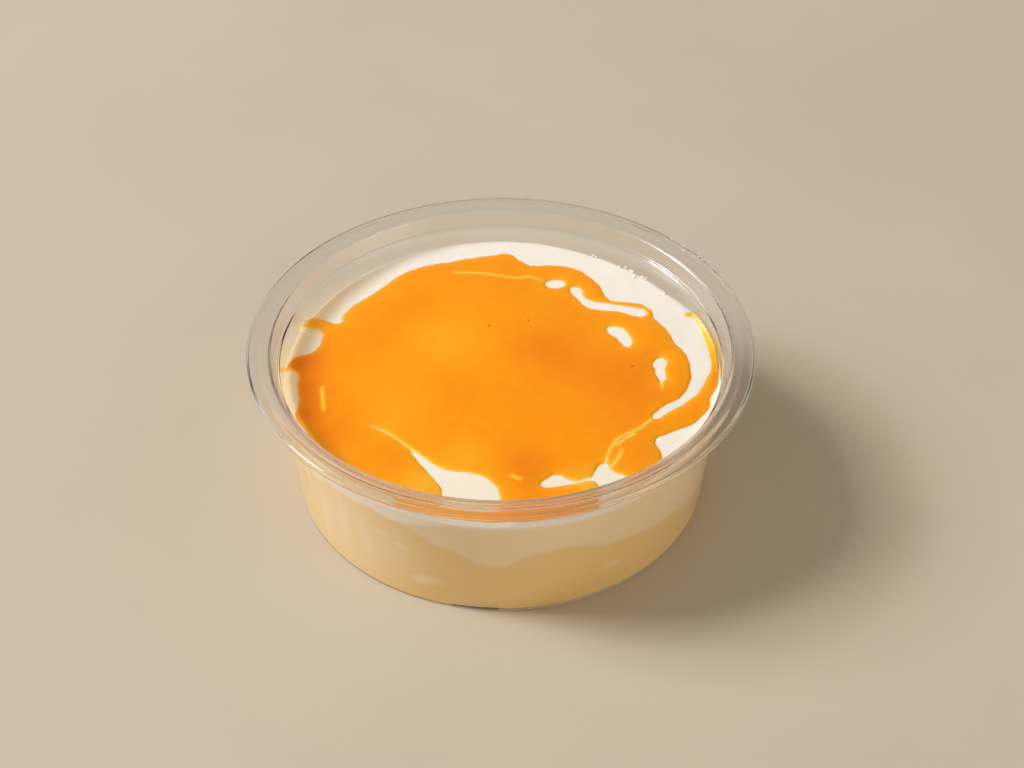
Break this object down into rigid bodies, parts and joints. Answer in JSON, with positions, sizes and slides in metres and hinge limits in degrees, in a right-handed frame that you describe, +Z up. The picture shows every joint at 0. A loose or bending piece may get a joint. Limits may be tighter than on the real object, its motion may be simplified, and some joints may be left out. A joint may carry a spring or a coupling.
{
  "type": "layered custard dessert in a clear round tub",
  "caption": "Layered dessert in a clear round plastic tub: custard under whipped cream, topped with a poured orange fruit sauce.",
  "frame": {"origin": "centre of the tub's foot ring, on the table", "axes": "+Z up out of the tub's open top; -Y is the front, where one of the foot ring's three vents lies; +X to the right seen from the front"},
  "size_m": [0.117, 0.117, 0.0388],
  "materials": {
    "clear_plastic": "clear, glossy moulded plastic",
    "custard": "smooth set custard, soft and slightly translucent",
    "cream": "soft whipped cream, satin",
    "sauce": "smooth poured fruit sauce, satin gloss"
  },
  "bodies": {
    "root": {"tub": "clear_plastic", "custard": "custard", "cream": "cream", "sauce": "sauce"}
  },
  "joints": []
}
